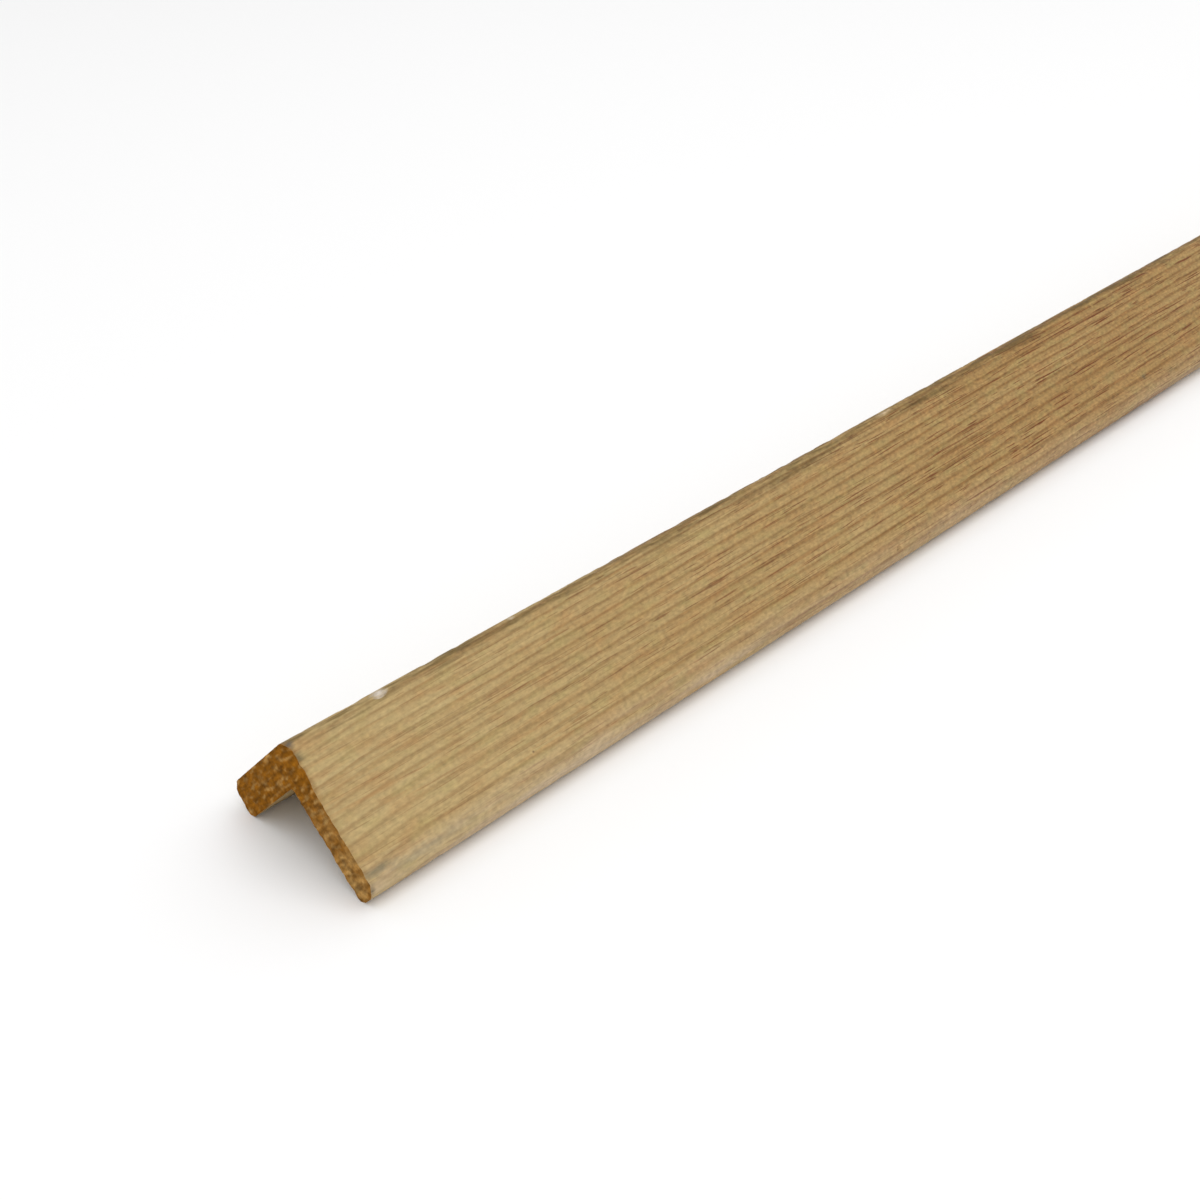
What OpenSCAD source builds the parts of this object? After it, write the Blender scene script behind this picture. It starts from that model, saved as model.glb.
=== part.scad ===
// Softwood angle moulding, planed to an L-section from finger-jointed stock.
// It lies on the tips of its two legs, with the arris on top and +X along its length.
// The origin is on the resting plane, under the middle of the strip.

/* [Strip] */
// Overall length, from sawn end to sawn end
strip_l = 900; // [740:10:2400]
// Width of each leg, from the arris to the tip
leg_w = 35; // [28:0.5:60]
// Thickness of both legs
leg_t = 8.5; // [7.5:0.5:12]

/* [Edges] */
// Radius of the outer arris
arris_r = 3; // [1:0.25:5]
// Radius of the outer edge of each leg tip
tip_outer_r = 4.5; // [1:0.25:4.75]
// Radius of the inner edge of each leg tip
tip_inner_r = 2.25; // [0.5:0.25:2.5]
// Radius in the inner corner between the legs
corner_r = 0.4; // [0.2:0.1:3]

/* [Lengths] */
// Length of the first piece of stock, from its sawn end to the middle of its fingers
first_l = 415; // [355:5:430]
// Length of the second piece of stock, between the middles of its fingers
second_l = 265; // [180:5:280]

/* [Finger joints] */
// Length of a finger, along the strip
finger_l = 10; // [6:0.5:14]
// Distance from one finger to the next, across the leg
finger_pitch = 3.8; // [3:0.1:6]
// Width of a finger at its blunt tip
finger_tip_w = 0.6; // [0.3:0.05:1]
// Glue space at a finger's tip, along the strip
tip_gap = 0.8; // [0.4:0.1:1.2]
// How far the fingers of the second joint are shifted across the leg
second_shift = 1.3; // [0:0.1:3]

/* [Hidden] */

// Facets in a rounded edge
arc_steps = 8;
// How far a cutting shape reaches past the timber
past = 2;

// A corner of angle 90 whose two edges lie on the axes, rounded by r, sits this much lower
function rounded_off(r) = r * (sqrt(2) - 1);

// Height of the sharp arris over the resting plane, so that the rounded tips touch it
arris_z = (leg_w + leg_t) / sqrt(2) - rounded_off(tip_inner_r);

// Middles of the two finger joints, measured from the first sawn end
first_joint = first_l;
second_joint = first_l + second_l;

// Points of a round edge about the centre c, from one angle to another
function arc(c, r, from, to) =
    [for (i = [0 : arc_steps]) let (a = from + (to - from) * i / arc_steps)
        c + r * [cos(a), sin(a)]];

// The L-section: the front leg lies along x and the back leg along y, with the arris at the origin
function section() = concat(
    arc([arris_r, arris_r], arris_r, 270, 180),
    arc([tip_outer_r, leg_w - tip_outer_r], tip_outer_r, 180, 90),
    arc([leg_t - tip_inner_r, leg_w - tip_inner_r], tip_inner_r, 90, 0),
    arc([leg_t + corner_r, leg_t + corner_r], corner_r, 180, 270),
    arc([leg_w - tip_inner_r, leg_t - tip_inner_r], tip_inner_r, 90, 0),
    arc([leg_w - tip_outer_r, tip_outer_r], tip_outer_r, 0, -90));

// Turns a shape from the section's axes, with its length along z, to how the strip lies
module lay() {
    translate([-strip_l / 2, 0, arris_z]) rotate([90, 0, 90]) rotate(225) children();
}

// The fingers' zigzag across the front leg, as points of [across, along]
function zigzag(along, shift) =
    [for (i = [-1 : ceil((leg_w + past) / finger_pitch)])
        let (foot = i * finger_pitch + shift, half = finger_l / 2)
        each [[foot, along + half],
              [foot + finger_tip_w, along + half],
              [foot + finger_pitch / 2, along - half],
              [foot + finger_pitch / 2 + finger_tip_w, along - half]]];

// A straight saw cut at the same reach as the zigzags
function straight(along) =
    [[-2 * finger_pitch, along], [leg_w + past + 3 * finger_pitch, along]];

// The same points from the last to the first
function reversed(points) = [for (i = [len(points) - 1 : -1 : 0]) points[i]];

// The moulding between two cuts, each a row of [across, along] points
module stock_between(start, end) {
    lay() intersection() {
        linear_extrude(strip_l) polygon(section());
        translate([0, leg_w + past, 0]) rotate([90, 0, 0])
            linear_extrude(leg_w + 2 * past) polygon(concat(start, reversed(end)));
    }
}

// Ends of the timber at each joint, with the glue space between them
function before_first() = zigzag(first_joint - tip_gap / 2, 0);
function after_first() = zigzag(first_joint + tip_gap / 2, 0);
function before_second() = zigzag(second_joint - tip_gap / 2, second_shift);
function after_second() = zigzag(second_joint + tip_gap / 2, second_shift);

module first_length() {
    color("burlywood") stock_between(straight(-past), before_first());
}

module first_glue_line() {
    color("saddlebrown") stock_between(before_first(), after_first());
}

module second_length() {
    color("burlywood") stock_between(after_first(), before_second());
}

module second_glue_line() {
    color("saddlebrown") stock_between(before_second(), after_second());
}

module third_length() {
    color("burlywood") stock_between(after_second(), straight(strip_l + past));
}

first_length();
first_glue_line();
second_length();
second_glue_line();
third_length();
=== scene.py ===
import math
import random

import bmesh
import bpy
from mathutils import Matrix, Vector, noise


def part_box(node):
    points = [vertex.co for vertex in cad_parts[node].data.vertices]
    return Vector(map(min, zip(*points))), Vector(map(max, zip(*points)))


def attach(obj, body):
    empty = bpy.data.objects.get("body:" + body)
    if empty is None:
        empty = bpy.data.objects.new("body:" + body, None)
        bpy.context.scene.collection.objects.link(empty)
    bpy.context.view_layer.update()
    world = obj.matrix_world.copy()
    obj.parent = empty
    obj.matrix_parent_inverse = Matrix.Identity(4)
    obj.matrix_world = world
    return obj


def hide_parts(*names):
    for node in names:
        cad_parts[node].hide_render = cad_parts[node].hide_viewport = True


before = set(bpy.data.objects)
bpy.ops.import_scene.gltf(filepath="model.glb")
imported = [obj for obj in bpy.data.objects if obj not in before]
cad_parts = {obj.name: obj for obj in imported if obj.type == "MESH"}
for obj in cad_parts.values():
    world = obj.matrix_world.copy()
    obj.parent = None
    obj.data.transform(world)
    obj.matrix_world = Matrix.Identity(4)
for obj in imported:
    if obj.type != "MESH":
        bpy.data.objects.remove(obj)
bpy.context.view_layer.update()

# The three lengths of timber
#
# The moulding is pale softwood, run through a planer from square stock to an equal-legged
# L-section. Each length is a different board, so its growth rings lie and its tone is its own.
# The boards meet in finger joints, and both outer ends are cross-cut with a circular saw.

leg_width = 0.035
leg_thickness = 0.0085
arris_radius = 0.003
tip_outer_radius = 0.0045
tip_inner_radius = 0.00225
corner_radius = 0.0004
arris_height = (leg_width + leg_thickness) / math.sqrt(2) - tip_inner_radius * (math.sqrt(2) - 1)

finger_length = 0.010
finger_pitch = 0.0038
finger_tip_width = 0.0006
tip_gap = 0.0008
joint_shifts = (0.0, 0.0013)
# How far a cutting shape reaches past the timber
past = 0.002

strip_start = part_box("first_length")[0].x
strip_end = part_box("third_length")[1].x
joint_middles = (
    (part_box("first_length")[1].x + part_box("second_length")[0].x) / 2,
    (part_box("second_length")[1].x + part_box("third_length")[0].x) / 2,
)


def lie(along, across, through):
    """A point of the strip as it lies. Across runs down the front leg, through down the back leg."""
    return Vector((along, (through - across) / math.sqrt(2),
                   arris_height - (across + through) / math.sqrt(2)))


# Each rounded edge of the section: its centre across and through, its radius, and the angles
# in degrees between which it turns
rounded_edges = {
    "arris": ((arris_radius, arris_radius), arris_radius, 270, 180),
    "back_tip": ((tip_outer_radius, leg_width - tip_outer_radius), tip_outer_radius, 180, 90),
    "back_inside": ((leg_thickness - tip_inner_radius, leg_width - tip_inner_radius),
                    tip_inner_radius, 90, 0),
    "corner": ((leg_thickness + corner_radius, leg_thickness + corner_radius),
               corner_radius, 180, 270),
    "front_inside": ((leg_width - tip_inner_radius, leg_thickness - tip_inner_radius),
                     tip_inner_radius, 90, 0),
    "front_tip": ((leg_width - tip_outer_radius, tip_outer_radius), tip_outer_radius, 0, -90),
}
# Longest facet round an edge, and along a flat
edge_facet = 0.0006
flat_facet = 0.002


def edge_point(edge, angle, outside=0.0):
    """A point across and through on a rounded edge, or a distance outside it."""
    centre, radius = rounded_edges[edge][:2]
    turn = math.radians(angle)
    return (centre[0] + (radius + outside) * math.cos(turn),
            centre[1] + (radius + outside) * math.sin(turn))


def section_outline():
    """The L-section as (across, through) points, with points along its flats for later wear."""
    corners = []
    for edge, (centre, radius, first, last) in rounded_edges.items():
        steps = max(4, round(radius * math.pi / 2 / edge_facet))
        corners.append([edge_point(edge, first + (last - first) * i / steps)
                        for i in range(steps + 1)])
    points = []
    for here, after in zip(corners, corners[1:] + corners[:1]):
        points += here
        start, end = Vector(here[-1]), Vector(after[0])
        steps = max(1, round((end - start).length / flat_facet))
        points += [tuple(start.lerp(end, i / steps)) for i in range(1, steps)]
    return points


def section_curve(name):
    """The section as a closed curve that Curve to Mesh carries along +X the right way up."""
    curve = bpy.data.curves.new(name, "CURVE")
    curve.dimensions = "2D"
    points = [lie(0, *p) for p in reversed(section_outline())]
    spline = curve.splines.new("POLY")
    spline.points.add(len(points) - 1)
    for target, point in zip(spline.points, points):
        target.co = (-point.y, -point.z, 0, 1)
    spline.use_cyclic_u = True
    made = bpy.data.objects.new(name, curve)
    bpy.context.scene.collection.objects.link(made)
    return made


def node(tree, kind, inputs=(), **settings):
    """Adds a node with its settings, and fills its live inputs in their order or by name.

    An input is a plain value, a socket, or a node whose first live output is meant."""
    made = tree.nodes.new(kind)
    for name, value in settings.items():
        setattr(made, name, value)
    if not isinstance(inputs, dict):
        live = [i for i, socket in enumerate(made.inputs) if socket.enabled]
        inputs = dict(zip(live, inputs))
    for name, value in inputs.items():
        if isinstance(value, bpy.types.Node):
            value = next(socket for socket in value.outputs if socket.enabled)
        if isinstance(value, bpy.types.NodeSocket):
            tree.links.new(value, made.inputs[name])
        else:
            made.inputs[name].default_value = value
    return made


def new_tree(name, kind, inputs, output):
    """An empty node group with named inputs and one output, each a name and a socket kind."""
    tree = bpy.data.node_groups.new(name, kind)
    for label, socket in inputs.items():
        tree.interface.new_socket(label, in_out="INPUT", socket_type="NodeSocket" + socket)
    tree.interface.new_socket(output[0], in_out="OUTPUT", socket_type="NodeSocket" + output[1])
    return tree


def grown(name, tree, values):
    """A plain mesh object from a geometry tree, given the values of the tree's named inputs."""
    made = bpy.data.objects.new(name, bpy.data.meshes.new(name))
    bpy.context.scene.collection.objects.link(made)
    step = made.modifiers.new(tree.name, "NODES")
    step.node_group = tree
    for item in tree.interface.items_tree:
        if item.in_out == "INPUT":
            step[item.identifier] = values[item.name]
    set_mesh(made)
    return made


def set_mesh(made):
    """Makes the result of an object's modifiers its own plain mesh."""
    graph = bpy.context.evaluated_depsgraph_get()
    result = bpy.data.meshes.new_from_object(made.evaluated_get(graph))
    made.modifiers.clear()
    made.data = result


# Heights over the floor: the leg tips are worn below the first, and the arris between the second
# and the third, where its wear is full
tip_wear_top = 0.006
arris_wear_start = 0.0262
arris_wear_full = 0.0282
# Dents, and the planer's slow wander, in waves per metre along, sideways and up
dents_per_metre = (240, 420, 420)
wander_per_metre = (9, 40, 40)

# A run of the planed section along X, with worn edges
planed_run = new_tree("planed_run", "GeometryNodeTree",
                      {"Section": "Object", "Start": "Float", "End": "Float", "Step": "Float",
                       "Wear": "Float", "Wander": "Float", "Material": "Material"},
                      ("Run", "Geometry"))
given = node(planed_run, "NodeGroupInput").outputs
start = node(planed_run, "ShaderNodeCombineXYZ", (given["Start"],))
end = node(planed_run, "ShaderNodeCombineXYZ", (given["End"],))
line = node(planed_run, "GeometryNodeCurvePrimitiveLine", {"Start": start, "End": end})
rows = node(planed_run, "GeometryNodeResampleCurve", {"Curve": line, "Length": given["Step"]},
            mode="LENGTH")
outline = node(planed_run, "GeometryNodeObjectInfo", {"Object": given["Section"]})
swept = node(planed_run, "GeometryNodeCurveToMesh",
             {"Curve": rows, "Profile Curve": outline.outputs["Geometry"], "Fill Caps": True})
place = node(planed_run, "GeometryNodeInputPosition")
# Handling wears the edges most, so the dents are only near the arris and the tips
height = node(planed_run, "ShaderNodeSeparateXYZ", (place,)).outputs["Z"]
low = node(planed_run, "ShaderNodeMapRange", (height, tip_wear_top, 0.0, 0.0, 1.0))
high = node(planed_run, "ShaderNodeMapRange",
            (height, arris_wear_start, arris_wear_full, 0.0, 1.0))
near_edge = node(planed_run, "ShaderNodeMath", (low, high), operation="MAXIMUM")
dent_grain = node(planed_run, "ShaderNodeVectorMath", (place, dents_per_metre),
                  operation="MULTIPLY")
dents = node(planed_run, "ShaderNodeTexNoise", {"Vector": dent_grain, "Scale": 1, "Detail": 3})
dent = node(planed_run, "ShaderNodeMapRange", (dents, 0.5, 0.8, 0.0, near_edge))
dent_depth = node(planed_run, "ShaderNodeMath", (dent, given["Wear"]), operation="MULTIPLY")
slow_grain = node(planed_run, "ShaderNodeVectorMath", (place, wander_per_metre),
                  operation="MULTIPLY")
slow = node(planed_run, "ShaderNodeTexNoise", {"Vector": slow_grain, "Scale": 1, "Detail": 1})
depth = node(planed_run, "ShaderNodeMath", (slow, given["Wander"], dent_depth),
             operation="MULTIPLY_ADD")
deeper = node(planed_run, "ShaderNodeMath", (depth, -1), operation="MULTIPLY")
outward = node(planed_run, "GeometryNodeInputNormal")
inward = node(planed_run, "ShaderNodeVectorMath", (outward, deeper), operation="SCALE")
worn = node(planed_run, "GeometryNodeSetPosition", {"Geometry": swept, "Offset": inward})
whole = node(planed_run, "GeometryNodeRealizeInstances", {"Geometry": worn})
painted = node(planed_run, "GeometryNodeSetMaterial",
               {"Geometry": whole, "Material": given["Material"]})
node(planed_run, "NodeGroupOutput", (painted,))

# Chips: one ball at each place, as long and round as the place says, with a ragged surface
edge_chips = new_tree("edge_chips", "GeometryNodeTree",
                      {"Places": "Object", "Ragged": "Float", "Tear": "Float",
                       "Material": "Material"}, ("Chips", "Geometry"))
given = node(edge_chips, "NodeGroupInput").outputs
places = node(edge_chips, "GeometryNodeObjectInfo", {"Object": given["Places"]})
ball = node(edge_chips, "GeometryNodeMeshIcoSphere", {"Radius": 1, "Subdivisions": 3})
size = node(edge_chips, "GeometryNodeInputNamedAttribute", {"Name": "size"},
            data_type="FLOAT_VECTOR")
balls = node(edge_chips, "GeometryNodeInstanceOnPoints",
             {"Points": places.outputs["Geometry"], "Instance": ball, "Scale": size})
whole = node(edge_chips, "GeometryNodeRealizeInstances", {"Geometry": balls})
place = node(edge_chips, "GeometryNodeInputPosition")
grain = node(edge_chips, "ShaderNodeVectorMath", (place, given["Tear"]), operation="SCALE")
uneven = node(edge_chips, "ShaderNodeTexNoise", {"Vector": grain, "Scale": 1, "Detail": 2})
swing = node(edge_chips, "ShaderNodeMath", (uneven, 0.5), operation="SUBTRACT")
amount = node(edge_chips, "ShaderNodeMath", (swing, given["Ragged"]), operation="MULTIPLY")
outward = node(edge_chips, "GeometryNodeInputNormal")
push = node(edge_chips, "ShaderNodeVectorMath", (outward, amount), operation="SCALE")
torn = node(edge_chips, "GeometryNodeSetPosition", {"Geometry": whole, "Offset": push})
painted = node(edge_chips, "GeometryNodeSetMaterial",
               {"Geometry": torn, "Material": given["Material"]})
node(edge_chips, "NodeGroupOutput", (painted,))


def colour(code):
    """A linear colour from its sRGB hex code."""
    parts = [int(code[i:i + 2], 16) / 255 for i in (0, 2, 4)]
    return (*[c / 12.92 if c <= 0.04045 else ((c + 0.055) / 1.055) ** 2.4 for c in parts], 1)


# Noise whose grains are as long, wide and deep as the size says, in millimetres
grained = new_tree("grained", "ShaderNodeTree",
                   {"Place": "Vector", "Size": "Vector", "Seed": "Float", "Detail": "Float"},
                   ("Value", "Float"))
given = node(grained, "NodeGroupInput").outputs
shrunk = node(grained, "ShaderNodeVectorMath", (given["Place"], given["Size"]),
              operation="DIVIDE")
grains = node(grained, "ShaderNodeTexNoise", (shrunk, given["Seed"], 1, given["Detail"]),
              noise_dimensions="4D")
node(grained, "NodeGroupOutput", (grains,))


# Latewood through one ring, from its outer side to its inner side: share of the ring, darkness
latewood = ((0.08, 1.0), (0.18, 0.8), (0.31, 0.3), (0.55, 0.05), (0.86, 0.0), (0.94, 0.25))
ring_edge_dark = 0.75
# The grain bends beside a knot that was just past the outer end, as far as this, in millimetres
knot_reach = 16
# Good and bad years: turns of luck per millimetre of depth, and how far they shift a ring
luck_turns = 0.21
luck_shift = 1.3


def board_grain(tree, board, crushed, crush_width):
    """Growth rings of one board. Works in millimetres along, across and through the section.

    Crushed is how far the cutting edge has pushed the rings about, over grains of that width.
    Gives the place, its three parts, and how dark the latewood of a ring is there."""
    at = node(tree, "ShaderNodeTexCoord").outputs["Object"]
    down = arris_height * 1000 / math.sqrt(2)
    place = node(tree, "ShaderNodeMapping",
                 (at, (board["from"] * -1000, down, down), (math.radians(135), 0, 0),
                  (1000, 1000, 1000)))
    part = node(tree, "ShaderNodeSeparateXYZ", (place,)).outputs
    offset = node(tree, "ShaderNodeVectorMath", (place, (0, *board["pith"])),
                  operation="SUBTRACT")
    sideways = node(tree, "ShaderNodeVectorMath", (offset, (0, 1, 1)), operation="MULTIPLY")
    from_pith = node(tree, "ShaderNodeVectorMath", (sideways,), operation="LENGTH")
    depth = node(tree, "ShaderNodeMath", (board["bark"], from_pith), operation="SUBTRACT")
    depth = node(tree, "ShaderNodeMath", (part["X"], board["slope"], depth),
                 operation="MULTIPLY_ADD")
    bend = node(tree, "ShaderNodeMapRange", (part["X"], 0, knot_reach, board["bend"], 0),
                interpolation_type="SMOOTHSTEP")
    depth = node(tree, "ShaderNodeMath", (depth, bend), operation="ADD")
    for amount, size, detail in ((board["sway"], (130, 26, 26), 1),
                                 (board["waver"], (22, 5, 5), 2),
                                 (crushed, (9, crush_width, crush_width), 3)):
        swing = node(tree, "ShaderNodeGroup", (place, size, board["seed"] + detail, detail),
                     node_tree=grained)
        depth = node(tree, "ShaderNodeMath", (swing, amount, depth), operation="MULTIPLY_ADD")
    year = node(tree, "ShaderNodeMath", (depth, luck_turns), operation="MULTIPLY")
    luck = node(tree, "ShaderNodeTexNoise", (year, 1, 1), noise_dimensions="1D")
    depth = node(tree, "ShaderNodeMath", (luck, luck_shift, depth), operation="MULTIPLY_ADD")
    # Rings widen evenly towards the pith, so their count is a logarithm of the depth
    scaled = node(tree, "ShaderNodeMath", (depth, board["widening"] / board["ring"], 1),
                  operation="MULTIPLY_ADD")
    above = node(tree, "ShaderNodeMath", (scaled, 0.05), operation="MAXIMUM")
    logged = node(tree, "ShaderNodeMath", (above, math.e), operation="LOGARITHM")
    count = node(tree, "ShaderNodeMath", (logged, 1 / board["widening"]), operation="MULTIPLY")
    share = node(tree, "ShaderNodeMath", (count,), operation="FRACT")
    late = node(tree, "ShaderNodeValToRGB", (share,))
    band = late.color_ramp.elements
    band[0].color = band[1].color = (ring_edge_dark, ring_edge_dark, ring_edge_dark, 1)
    for stop, dark in latewood:
        band.new(stop).color = (dark, dark, dark, 1)
    # No two years are equally dark
    which = node(tree, "ShaderNodeMath", (count,), operation="FLOOR")
    chance = node(tree, "ShaderNodeTexWhiteNoise", (which,), noise_dimensions="1D")
    strength = node(tree, "ShaderNodeMapRange", (chance.outputs["Value"], 0, 1, 0.65, 1.0))
    late = node(tree, "ShaderNodeMath", (late, strength), operation="MULTIPLY")
    return place, part, late


def planed_pine(board):
    """Planed, uncoated pine. It is matt and pale, with soft brown ring lines, fine fibres, and
    the short red-brown lines of resin canals that the planer has opened."""
    made = bpy.data.materials.new("planed_pine_" + board["name"])
    made.use_nodes = True
    tree = made.node_tree
    tree.nodes.clear()
    seed = board["seed"]
    place, part, late = board_grain(tree, board, 0.35, 1.0)

    # The board is palest at its outer end, and each patch of it a little paler or deeper
    patch = node(tree, "ShaderNodeGroup", (place, (60, 8, 8), seed, 3), node_tree=grained)
    patch = node(tree, "ShaderNodeMapRange", (patch, 0.3, 0.7, 0.0, 0.38))
    faded = node(tree, "ShaderNodeMapRange", (part["X"], 0, board["fade"], 0.0, 0.62))
    tone = node(tree, "ShaderNodeMath", (faded, patch), operation="ADD")
    timber = node(tree, "ShaderNodeMix", (tone, colour(board["pale"]), colour(board["deep"])),
                  data_type="RGBA")

    # Each mark is how much of it there is, and its colour. In the lists below, a mark has the size
    # of its noise in millimetres, the noise where it begins and is full, the most of it, its colour.
    marks = []
    fading = node(tree, "ShaderNodeGroup", (place, (30, 2, 2), seed, 3), node_tree=grained)
    fading = node(tree, "ShaderNodeMapRange", (fading, 0.32, 0.66, 0.7, 1.0))
    firm = node(tree, "ShaderNodeMapRange", (part["X"], 0, board["fade"], board["faint"], 1.0))
    firm = node(tree, "ShaderNodeMath", (firm, fading), operation="MULTIPLY")
    ring_line = node(tree, "ShaderNodeMath", (late, firm), operation="MULTIPLY")
    marks.append((ring_line, board["late"]))

    # Pinker and greener patches, and long pink streaks
    for size, low, high, most, shade in (((9, 4, 4), 0.5, 0.75, 0.5, board["blush"]),
                                         ((7, 3, 3), 0.5, 0.75, 0.4, board["sallow"]),
                                         ((30, 1.3, 1.3), 0.55, 0.75, 0.5, board["blush"])):
        patch = node(tree, "ShaderNodeGroup", (place, size, seed + size[0], 2),
                     node_tree=grained)
        marks.append((node(tree, "ShaderNodeMapRange", (patch, low, high, 0.0, most)), shade))

    # Dark threads of summer fibre, then resin canals, sliced along their length
    clear = node(tree, "ShaderNodeMapRange", (part["X"], 0, board["fade"], board["dusty"], 1.0))
    clear = node(tree, "ShaderNodeMath", (clear, fading), operation="MULTIPLY")
    for size, low, high, most, shade in (
            ((45, 0.6, 0.6), 0.58, 0.76, 0.22, board["late"]),
            ((80, 0.5, 0.5), 0.7, 0.75, 0.7, board["resin"]),
            ((17, 0.44, 0.44), 0.675, 0.735, 1.0, board["resin"]),
            ((8, 0.36, 0.36), 0.69, 0.75, 1.0, board["resin"])):
        thread = node(tree, "ShaderNodeGroup", (place, size, seed + size[0], 0),
                      node_tree=grained)
        thread = node(tree, "ShaderNodeMapRange", (thread, low, high, 0.0, most))
        thread = node(tree, "ShaderNodeMath", (thread, clear), operation="MULTIPLY")
        marks.append((thread, shade))

    # The arris is coloured olive brown in patches: partly dirt from hands and dust, and partly
    # painted shade where the rounded arris turns away from the light. Each kind also has the
    # distances from the sharp arris at which it is full and ends.
    sideways = node(tree, "ShaderNodeVectorMath", (place, (0, 1, 1)), operation="MULTIPLY")
    from_arris = node(tree, "ShaderNodeVectorMath", (sideways,), operation="LENGTH")
    for size, low, high, near, far, most, shade in (
            ((20, 1.5, 1.5), 0.48, 0.66, 1.4, 4.8, 0.85, "574216"),
            ((9, 1, 1), 0.36, 0.62, 1.4, 2.4, 0.8, "665022")):
        patchy = node(tree, "ShaderNodeGroup", (place, size, seed + size[0], 3),
                      node_tree=grained)
        patchy = node(tree, "ShaderNodeMapRange", (patchy, low, high, 0.0, most))
        dirt_and_painted_shade = node(tree, "ShaderNodeMapRange", (from_arris, far, near, 0.0, patchy))
        marks.append((dirt_and_painted_shade, shade))

    # The outer edges of the leg tips are painted pale and grey, most at the outer end: painted light
    # reflected from the pale floor onto the rounded lower edges
    tip = node(tree, "ShaderNodeMath", (part["Y"], part["Z"]), operation="MAXIMUM")
    patchy = node(tree, "ShaderNodeGroup", (place, (25, 3, 3), seed + 3, 3), node_tree=grained)
    most = node(tree, "ShaderNodeMapRange", (part["X"], 0, board["fade"], 0.9, 0.3))
    patchy = node(tree, "ShaderNodeMapRange", (patchy, 0.35, 0.65, 0.15, most))
    marks.append((node(tree, "ShaderNodeMapRange", (tip, 28, 33.5, 0.0, patchy)), "C0AB8C"))

    # The saw's heat and dust have browned the last half millimetre, mostly near the arris
    ragged = node(tree, "ShaderNodeGroup", (place, (1.5, 0.6, 0.6), seed, 2), node_tree=grained)
    ragged = node(tree, "ShaderNodeMath", (ragged, -1.6, part["X"]), operation="MULTIPLY_ADD")
    most = node(tree, "ShaderNodeMapRange",
                (part["Y"], 9, 15, board["singed"], board["singed"] / 3))
    marks.append((node(tree, "ShaderNodeMapRange", (ragged, 0.8, -0.4, 0.0, most)), "80581E"))

    # Smudges and painted light, each a ragged patch of its own length and width, six millimetres
    # deep.
    # Some are dirt, and some are painted shade along the arris, painted highlights over the chips
    # and painted light reflected from the floor near the front tip
    for along, across, length, width, most, shade in board["smudges_and_painted_light"]:
        offset = node(tree, "ShaderNodeVectorMath", (place, (along, across, 0)),
                      operation="SUBTRACT")
        offset = node(tree, "ShaderNodeVectorMath", (offset, (2 / length, 2 / width, 1 / 6)),
                      operation="MULTIPLY")
        reach = node(tree, "ShaderNodeVectorMath", (offset,), operation="LENGTH")
        ragged = node(tree, "ShaderNodeGroup", (place, (2.5, 0.8, 0.8), seed, 3),
                      node_tree=grained)
        reach = node(tree, "ShaderNodeMath", (ragged, 1.2, reach), operation="MULTIPLY_ADD")
        marks.append((node(tree, "ShaderNodeMapRange", (reach, 1.5, 0.7, 0.0, most)), shade))

    for share, shade in marks:
        timber = node(tree, "ShaderNodeMix", (share, timber, colour(shade)), data_type="RGBA")

    # Fibres, the planer's chatter across them, and cut cells, each lighter or darker. Real fibres
    # are a few hundredths of a millimetre wide, so they are drawn coarser to show at all.
    rough = node(tree, "ShaderNodeMapRange", (part["X"], 0, board["fade"], board["smooth"], 1.0))
    for size, detail, least, most in (((7, 0.4, 0.4), 4, -0.11, 0.1),
                                      ((1.4, 3.0, 3.0), 3, -0.1, 0.09),
                                      ((1.3, 0.7, 0.7), 6, -0.28, 0.25)):
        speckle = node(tree, "ShaderNodeGroup", (place, size, seed, detail), node_tree=grained)
        swing = node(tree, "ShaderNodeMapRange", (speckle, 0.28, 0.72, least, most))
        shade = node(tree, "ShaderNodeMath", (swing, rough, 1), operation="MULTIPLY_ADD")
        timber = node(tree, "ShaderNodeVectorMath", (timber, shade), operation="SCALE")

    fibre = node(tree, "ShaderNodeGroup", (place, (7, 0.3, 0.3), seed, 4), node_tree=grained)
    relief = node(tree, "ShaderNodeMath", (fibre, 0.6, ring_line), operation="MULTIPLY_ADD")
    bump = node(tree, "ShaderNodeBump", {"Height": relief, "Strength": 0.4, "Distance": 0.0001})
    # Hard latewood takes a slight polish from the planer's knives
    dull = node(tree, "ShaderNodeMapRange", (ring_line, 0, 1, 0.66, 0.5))
    surface = node(tree, "ShaderNodeBsdfPrincipled",
                   {"Base Color": timber, "Roughness": dull, "IOR": 1.5,
                    "Specular IOR Level": 0.3, "Normal": bump})
    node(tree, "ShaderNodeOutputMaterial", {"Surface": surface})
    return made


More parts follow.
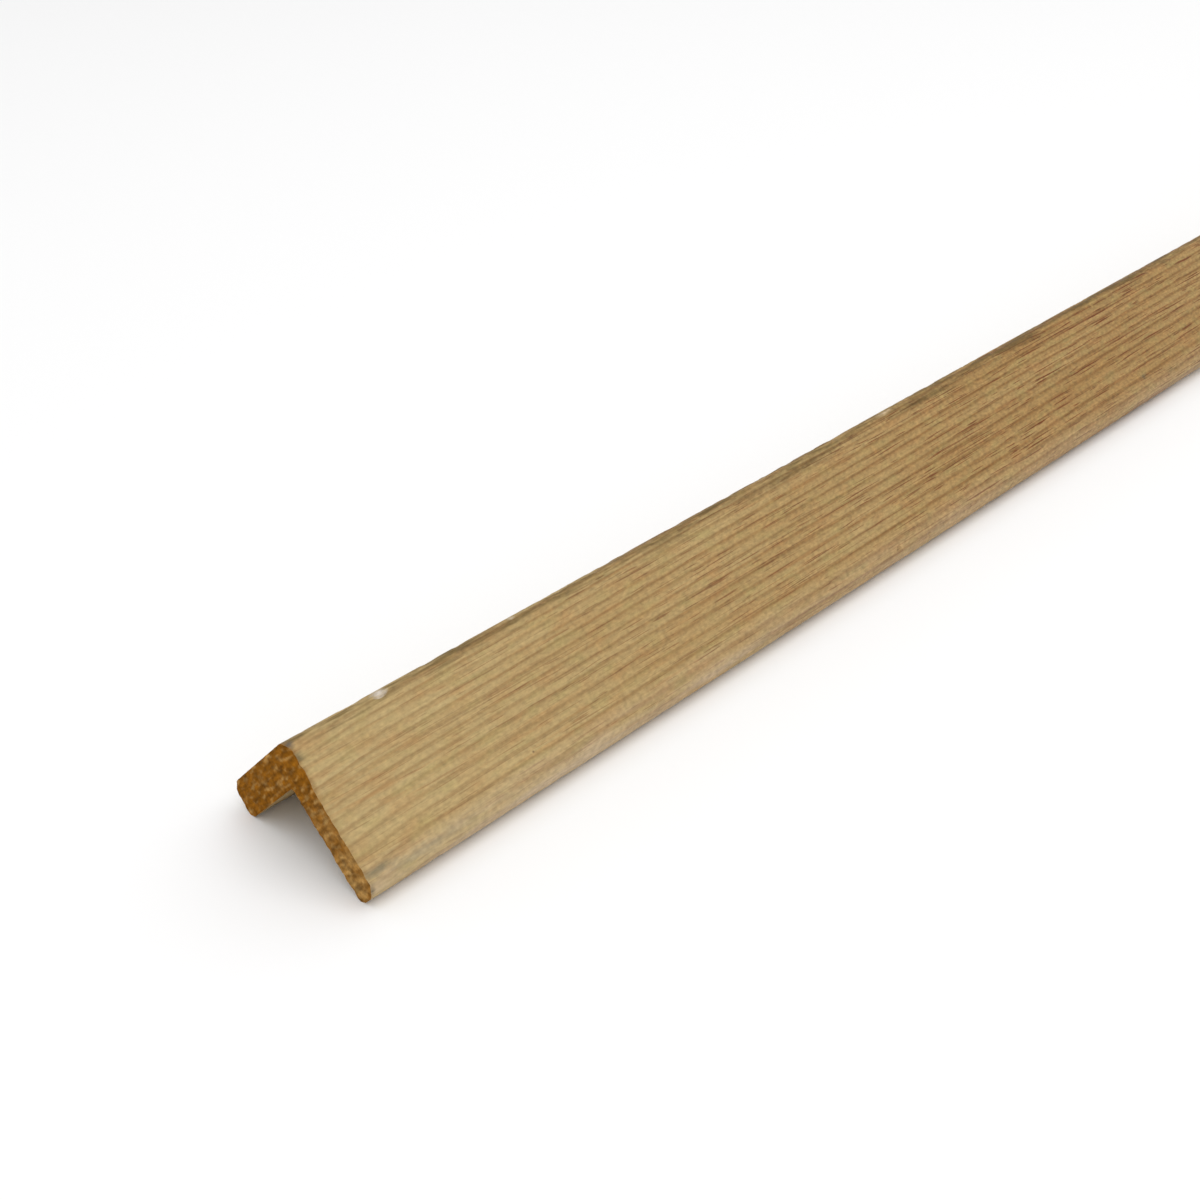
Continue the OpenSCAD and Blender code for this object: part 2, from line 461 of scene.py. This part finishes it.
def sawn_pine(board):
    """Cross-cut end grain. Its open cells drink light, so it is orange-brown, dark and matt, with
    torn pale tufts, and the saw has smeared its rings. Real cells are too fine to show, so the
    blotches stand for clumps of them."""
    made = bpy.data.materials.new("sawn_end_pine_" + board["name"])
    made.use_nodes = True
    tree = made.node_tree
    tree.nodes.clear()
    seed = board["seed"]
    place, part, late = board_grain(tree, board, 1.7, 2.2)
    patchy = node(tree, "ShaderNodeGroup", (place, (3, 4, 4), seed + 3, 1), node_tree=grained)
    patchy = node(tree, "ShaderNodeMapRange", (patchy, 0.3, 0.7, 0.1, 1.0))
    paler = node(tree, "ShaderNodeMapRange", (part["Y"], 10, 34, 0.0, patchy))
    timber = node(tree, "ShaderNodeMix", (paler, colour("865512"), colour("B18D54")),
                  data_type="RGBA")
    late = node(tree, "ShaderNodeMath", (late, 0.4), operation="MULTIPLY")
    timber = node(tree, "ShaderNodeMix", (late, timber, colour("683E06")), data_type="RGBA")
    tuft = node(tree, "ShaderNodeGroup", (place, (2, 1.3, 3.6), seed + 7, 1), node_tree=grained)
    tuft = node(tree, "ShaderNodeMapRange", (tuft, 0.5, 0.74, 0.0, 0.6))
    timber = node(tree, "ShaderNodeMix", (tuft, timber, colour("BE985C")), data_type="RGBA")
    for size, detail, least, most in (((3, 1.3, 3.2), 1, 0.6, 1.34),
                                      ((0.6, 0.6, 0.6), 2, 0.8, 1.18)):
        blotch = node(tree, "ShaderNodeGroup", (place, size, seed, detail), node_tree=grained)
        shade = node(tree, "ShaderNodeMapRange", (blotch, 0.3, 0.7, least, most))
        timber = node(tree, "ShaderNodeVectorMath", (timber, shade), operation="SCALE")
    pit = node(tree, "ShaderNodeGroup", (place, (0.4, 0.4, 0.4), seed, 2), node_tree=grained)
    bump = node(tree, "ShaderNodeBump", {"Height": pit, "Strength": 0.3, "Distance": 0.0002})
    surface = node(tree, "ShaderNodeBsdfPrincipled",
                   {"Base Color": timber, "Roughness": 0.9, "IOR": 1.5,
                    "Specular IOR Level": 0.04, "Normal": bump})
    node(tree, "ShaderNodeOutputMaterial", {"Surface": surface})
    return made


# Each board, in millimetres. Pith is where the tree's middle lies, across and through, and bark is
# the depth from it at which the rings are counted. Ring is the ring width there, and widening its
# growth from ring to ring. Slope, sway, waver and bend shift the rings: steadily along the board,
# over its length, over a few centimetres, and by the knot. Fade is how far from its outer end the
# board grows deeper in tone. At that end itself the ring lines, resin lines and fibres are only
# faint, dusty and smooth, as shares of their full strength, and singed is the browning there.
# A smudge, of dirt or of painted light and shade, is its place along and across the front leg, its
# length and width, its strength and its colour. A chip is its edge, its angle there, its place
# along, its length, radius and depth.
boards = [
    {"name": "first", "from": strip_start, "seed": 3.0, "pith": (112, 7), "bark": 112,
     "ring": 1.85, "widening": 0.035, "slope": 0.012, "sway": 2.4, "waver": 0.4, "bend": -0.9,
     "fade": 220, "faint": 0.47, "dusty": 0.25, "smooth": 0.6, "singed": 0.7, "pale": "B8A170",
     "deep": "9D7A46", "late": "734A14", "resin": "672F02", "blush": "A87C4A", "sallow": "A0945A",
     "smudges_and_painted_light": [(1.0, 1.2, 3, 2.8, 0.9, "60564A"), (1.2, 4.4, 3.2, 3.2, 0.85, "5E5338"),
                 (3.4, 30.6, 12, 2.6, 0.75, "706850"), (0.5, 33.6, 2, 2, 0.7, "57503F"),
                 # This pale grey patch near the front tip is painted light reflected from the floor
                 (14, 32, 36, 3.4, 0.4, "A39A80"),
                 (46, 27.2, 1.0, 0.9, 0.8, "4A3426"), (284, 28, 4, 2.5, 0.6, "5F5A42"),
                 # The patches along the arris at 105, 150 and 200 mm are partly dirt and partly
                 # painted shade where the rounded arris turns from the light
                 (105, 2.6, 26, 2.2, 0.4, "5F4A1C"), (150, 3.0, 40, 2.4, 0.75, "5C4214"),
                 # The pale spots at 23, 59 and 187 mm, over the arris chips, are partly pale torn
                 # wood and partly painted highlight
                 (200, 2.8, 36, 2.2, 0.75, "57400F"), (23, 0.9, 5.2, 3.0, 1.0, "D2C8BC"),
                 (59, 0.4, 2.6, 1.4, 0.7, "CDBFA6"), (187, 0.9, 9, 1.6, 0.8, "CDB592")],
     "chips": [("arris", 236, 23, 3.4, 2.2, 0.5), ("arris", 228, 59, 1.8, 1.5, 0.3),
               ("arris", 232, 187, 7.0, 1.6, 0.35)]},
    {"name": "second", "from": joint_middles[0], "seed": 11.0, "pith": (60, 70), "bark": 90,
     "ring": 2.4, "widening": 0.03, "slope": -0.006, "sway": 3.0, "waver": 0.5, "bend": 0,
     "fade": 500, "faint": 0.9, "dusty": 0.8, "smooth": 0.8, "singed": 0, "pale": "B8A172",
     "deep": "A38150", "late": "84602E", "resin": "743C16", "blush": "B28957", "sallow": "AB9E66",
     "smudges_and_painted_light": [], "chips": []},
    {"name": "third", "from": joint_middles[1], "seed": 23.0, "pith": (-40, 60), "bark": 90,
     "ring": 2.9, "widening": 0.03, "slope": 0.01, "sway": 2.6, "waver": 0.5, "bend": 0,
     "fade": 300, "faint": 0.9, "dusty": 0.8, "smooth": 0.8, "singed": 0, "pale": "B39767",
     "deep": "977444", "late": "795227", "resin": "683110", "blush": "AA7A48", "sallow": "9C9058",
     "smudges_and_painted_light": [], "chips": []},
]


def shape_object(name, shape):
    """An object from a finished bmesh."""
    mesh = bpy.data.meshes.new(name)
    shape.to_mesh(mesh)
    shape.free()
    made = bpy.data.objects.new(name, mesh)
    bpy.context.scene.collection.objects.link(made)
    return made


def fingers(middle, shift):
    """The zigzag of a finger joint, as (across, along) points."""
    points = []
    for i in range(-1, math.ceil((leg_width + past) / finger_pitch) + 1):
        foot = i * finger_pitch + shift
        points += [(foot, middle + finger_length / 2),
                   (foot + finger_tip_width, middle + finger_length / 2),
                   (foot + finger_pitch / 2, middle - finger_length / 2),
                   (foot + finger_pitch / 2 + finger_tip_width, middle - finger_length / 2)]
    return points


def square_cut(at):
    """A plain cut at the same reach as the fingers."""
    return [(-2 * finger_pitch, at), (leg_width + past + 3 * finger_pitch, at)]


def cutter_between(name, first_cut, last_cut):
    """A solid block between two cuts, wider than the timber."""
    outline = first_cut + last_cut[::-1]
    shape = bmesh.new()
    near = [shape.verts.new(lie(along, across, -past)) for across, along in outline]
    far = [shape.verts.new(lie(along, across, leg_width + past)) for across, along in outline]
    shape.faces.new(near)
    shape.faces.new(far[::-1])
    for i, j in zip(range(len(near)), [*range(1, len(near)), 0]):
        shape.faces.new((near[i], far[i], far[j], near[j]))
    bmesh.ops.recalc_face_normals(shape, faces=shape.faces)
    return shape_object(name, shape)


# The rough cut face: the space between its points, its depth, the size of a tear in it, the pitch
# of the teeth's arcs, how round those are, and how much of the depth is theirs
saw_grid = 0.00035
saw_depth = 0.0004
saw_tear = 0.0014
saw_pitch = 0.0013
saw_round = 3
saw_arcs = 0.13
# Two corners of the waste, sideways and up, which is a little wider than the section
waste_low = Vector((-0.026, -0.002))
waste_high = Vector((0.026, 0.031))
# Where the first board's corner has split away: across, through, reach and depth
broken_corner = ((0.0040, 0.0, 0.0036, 0.0008), (0.0075, 0.0, 0.004, 0.0007),
                 (0.0342, 0.004, 0.002, 0.0004))


def saw_block(name, at, facing, material, splits=()):
    """Waste that the saw takes off an end. Its inner face is rough, and lies at or inside at."""
    span = waste_high - waste_low
    columns, rows = (round(side / saw_grid) for side in span)
    shape = bmesh.new()
    bmesh.ops.create_grid(shape, x_segments=columns, y_segments=rows, size=0.5)
    split_places = [(lie(at, across, through), reach, depth)
                    for across, through, reach, depth in splits]
    for vert in shape.verts:
        y = waste_low.x + (vert.co.x + 0.5) * span.x
        z = waste_low.y + (vert.co.y + 0.5) * span.y
        torn = noise.fractal(Vector((y, z, at)) / saw_tear, 0.9, 2.0, 2) * 0.5 + 0.5
        arcs = 0.5 + 0.5 * math.sin((z + saw_round * y * y) * 2 * math.pi / saw_pitch)
        into = saw_depth * min(1.0, max(0.0, (1 - saw_arcs) * torn + saw_arcs * arcs))
        for place, reach, depth in split_places:
            apart = math.dist((y, z), place.yz) / reach
            if apart < 1:
                into = max(into, depth * (0.7 + 0.6 * torn) * (1 - apart * apart))
        vert.co = (at - facing * into, y, z)
    rim = [edge for edge in shape.edges if edge.is_boundary]
    walls = bmesh.ops.extrude_edge_only(shape, edges=rim)["geom"]
    for vert in [part for part in walls if isinstance(part, bmesh.types.BMVert)]:
        vert.co.x = at + facing * 3 * past
    bmesh.ops.holes_fill(shape, edges=[edge for edge in shape.edges if edge.is_boundary])
    bmesh.ops.recalc_face_normals(shape, faces=shape.faces)
    made = shape_object(name, shape)
    made.data.materials.append(material)
    return made


# Chips that wear leaves on any such edge, but not this near an end: the edge, the space between
# chips, the longest and the deepest, in millimetres
bare_end = 0.03
small_chips = (("arris", 33, 4, 0.22), ("front_tip", 12, 5, 0.45), ("back_tip", 15, 5, 0.4),
               ("front_inside", 21, 4, 0.3), ("back_inside", 26, 4, 0.3))


def chip_places(name, board, start, end):
    """A point with a size at each chip of one length of timber."""
    draw = random.Random(board["seed"])
    chips = [(edge, angle, board["from"] + along / 1000, length, radius, depth)
             for edge, angle, along, length, radius, depth in board["chips"]]
    for edge, space, longest, deepest in small_chips:
        first, last = rounded_edges[edge][2:]
        along = start + bare_end + draw.uniform(0.2, 1) * space / 1000
        while along < end - bare_end:
            chips.append((edge, draw.uniform(first, last), along,
                          draw.uniform(0.3, 1) * longest, draw.uniform(0.8, 1.6),
                          draw.uniform(0.4, 1) * deepest))
            along += draw.uniform(0.6, 1.4) * space / 1000
    mesh = bpy.data.meshes.new(name)
    mesh.vertices.add(len(chips))
    sizes = mesh.attributes.new("size", "FLOAT_VECTOR", "POINT")
    for i, (edge, angle, along, length, radius, depth) in enumerate(chips):
        across, through = edge_point(edge, angle, (radius - depth) / 1000)
        mesh.vertices[i].co = lie(along, across, through)
        # The ball is sunk by less than its radius, so it is longer than the chip that it leaves
        sunk = math.sqrt(1 - (1 - depth / radius) ** 2)
        sizes.data[i].vector = (length / 2000 / sunk, radius / 1000, radius / 1000)
    made = bpy.data.objects.new(name, mesh)
    bpy.context.scene.collection.objects.link(made)
    return made


def cut(timber, tool, operation):
    """Cuts timber with another solid, whose material the cut face takes."""
    step = timber.modifiers.new("cut", "BOOLEAN")
    step.object = tool
    step.operation = operation
    step.solver = "MANIFOLD"
    step.material_mode = "TRANSFER"


# What the cuts leave behind, points closer than a sliver and loose scraps of a few faces, and the
# angle from which an edge is shaded sharp
sliver = 0.000003
crumb_faces = 20
sharp_angle = math.radians(38)


def finish_mesh(made, tools):
    """Makes the cuts the object's own mesh, and takes the tools, slivers and crumbs away."""
    set_mesh(made)
    for tool in tools:
        bpy.data.objects.remove(tool)
    shape = bmesh.new()
    shape.from_mesh(made.data)
    bmesh.ops.remove_doubles(shape, verts=shape.verts, dist=sliver)
    bmesh.ops.triangulate(shape, faces=shape.faces)
    # A sliver that is shut leaves two triangles back to back
    seen = {}
    for face in shape.faces:
        seen.setdefault(frozenset(face.verts), []).append(face)
    shut = [face for same in seen.values() if len(same) > 1 for face in same]
    bmesh.ops.delete(shape, geom=shut, context="FACES")
    # A scrap is a shell of few faces, found by going from face to face
    unmet = set(shape.faces)
    while unmet:
        shell = [unmet.pop()]
        for face in shell:
            beside = {other for edge in face.edges for other in edge.link_faces} & unmet
            unmet -= beside
            shell += beside
        if len(shell) < crumb_faces:
            bmesh.ops.delete(shape, geom=shell, context="FACES")
    shape.to_mesh(made.data)
    shape.free()
    made.data.shade_smooth()
    made.data.set_sharp_from_angle(angle=sharp_angle)


section = section_curve("moulding_section")
run = {"Section": section, "Step": 0.0007, "Wear": 0.0004, "Wander": 0.00012}
cuts = [
    square_cut(strip_start - past),
    fingers(joint_middles[0] - tip_gap / 2, joint_shifts[0]),
    fingers(joint_middles[0] + tip_gap / 2, joint_shifts[0]),
    fingers(joint_middles[1] - tip_gap / 2, joint_shifts[1]),
    fingers(joint_middles[1] + tip_gap / 2, joint_shifts[1]),
    square_cut(strip_end + past),
]
for i, board in enumerate(boards):
    name = board["name"] + "_length"
    planed, sawn = planed_pine(board), sawn_pine(board)
    low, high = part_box(name)
    timber = grown(name + "_timber", planed_run,
                   {**run, "Start": low.x - past, "End": high.x + past, "Material": planed})
    tools = [cutter_between(name + "_cutter", cuts[2 * i], cuts[2 * i + 1])]
    tools[0].data.materials.append(planed)
    cut(timber, tools[0], "INTERSECT")
    if i == 0:
        tools.append(saw_block("near_waste", strip_start, -1, sawn, broken_corner))
        cut(timber, tools[-1], "DIFFERENCE")
    if i == len(boards) - 1:
        tools.append(saw_block("far_waste", strip_end, 1, sawn))
        cut(timber, tools[-1], "DIFFERENCE")
    places = chip_places(name + "_chip_places", board, low.x, high.x)
    tools += [places, grown(name + "_chips", edge_chips,
                            {"Places": places, "Ragged": 0.0006, "Tear": 900,
                             "Material": planed})]
    cut(timber, tools[-1], "DIFFERENCE")
    finish_mesh(timber, tools)
    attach(timber, "root")
    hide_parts(name)


# The two glue lines
#
# Each finger joint is pressed together with wood glue, which fills the small space at the finger
# tips and dries to a thin brown line. The planer cuts it flush with the timber.

# Dried wood glue: amber brown, slightly clear and glossy, dulled by dust where the planer cut it
dried_glue = bpy.data.materials.new("dried_wood_glue")
dried_glue.use_nodes = True
tree = dried_glue.node_tree
tree.nodes.clear()
at = node(tree, "ShaderNodeTexCoord").outputs["Object"]
place = node(tree, "ShaderNodeVectorMath", (at, 1000), operation="SCALE")
cloud = node(tree, "ShaderNodeGroup", (place, (1.2, 1.2, 1.2), 5, 3), node_tree=grained)
share = node(tree, "ShaderNodeMapRange", (cloud, 0.35, 0.65, 0.0, 1.0))
amber = node(tree, "ShaderNodeMix", (share, colour("54341A"), colour("7E5730")),
             data_type="RGBA")
dust = node(tree, "ShaderNodeGroup", (place, (0.4, 0.4, 0.4), 6, 2), node_tree=grained)
dusty = node(tree, "ShaderNodeMapRange", (dust, 0.55, 0.7, 0.0, 0.5))
glue_colour = node(tree, "ShaderNodeMix", (dusty, amber, colour("A48C66")), data_type="RGBA")
dull = node(tree, "ShaderNodeMapRange", (dust, 0.35, 0.65, 0.3, 0.6))
bump = node(tree, "ShaderNodeBump", {"Height": cloud, "Strength": 0.3, "Distance": 0.0001})
surface = node(tree, "ShaderNodeBsdfPrincipled",
               {"Base Color": glue_colour, "Roughness": dull, "IOR": 1.5, "Normal": bump})
node(tree, "ShaderNodeOutputMaterial", {"Surface": surface})

for i, name in enumerate(("first_glue_line", "second_glue_line")):
    low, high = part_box(name)
    glue = grown(name + "_film", planed_run,
                 {**run, "Start": low.x - past, "End": high.x + past, "Material": dried_glue})
    tool = cutter_between(name + "_cutter", cuts[2 * i + 1], cuts[2 * i + 2])
    tool.data.materials.append(dried_glue)
    cut(glue, tool, "INTERSECT")
    finish_mesh(glue, [tool])
    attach(glue, "root")
    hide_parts(name)

bpy.data.objects.remove(section)

# The floor, the light and the camera
#
# A plain pale floor, broad soft light from above, and a camera close to the sawn end.

floor_shape = bmesh.new()
bmesh.ops.create_grid(floor_shape, x_segments=1, y_segments=1, size=6)
floor = shape_object("floor", floor_shape)
paper = bpy.data.materials.new("white_paper")
paper.use_nodes = True
paper.node_tree.nodes["Principled BSDF"].inputs["Base Color"].default_value = colour("F7F7F7")
paper.node_tree.nodes["Principled BSDF"].inputs["Roughness"].default_value = 0.9
floor.data.materials.append(paper)

world = bpy.data.worlds.new("studio")
bpy.context.scene.world = world
world.use_nodes = True
world.node_tree.nodes["Background"].inputs["Color"].default_value = colour("FFFFFF")
world.node_tree.nodes["Background"].inputs["Strength"].default_value = 0.8
bpy.context.scene.view_settings.view_transform = "Standard"


def soft_light(name, place, target, size, power):
    """A square softbox that faces its target."""
    lamp = bpy.data.lights.new(name, "AREA")
    lamp.size, lamp.energy = size, power
    made = bpy.data.objects.new(name, lamp)
    made.location = place
    made.rotation_euler = (Vector(target) - Vector(place)).to_track_quat("-Z", "Y").to_euler()
    bpy.context.scene.collection.objects.link(made)


soft_light("overhead", (-0.2, -0.5, 1.6), (-0.2, 0, 0), 1.6, 12)

near_arris = Vector((strip_start, 0, arris_height))
camera_offset = Vector((-0.1242, -0.2264, 0.1912))
heading, pitch, roll = 42.68, 33.02, -2.95
camera = bpy.data.objects.new("camera", bpy.data.cameras.new("camera"))
camera.data.lens = 49.26
camera.data.clip_start = 0.01
camera.matrix_world = (
    Matrix.Translation(near_arris + camera_offset)
    @ Matrix.Rotation(math.radians(-heading), 4, "Z")
    @ Matrix.Rotation(math.radians(90 - pitch), 4, "X")
    @ Matrix.Rotation(math.radians(roll), 4, "Z"))
bpy.context.scene.collection.objects.link(camera)
bpy.context.scene.camera = camera
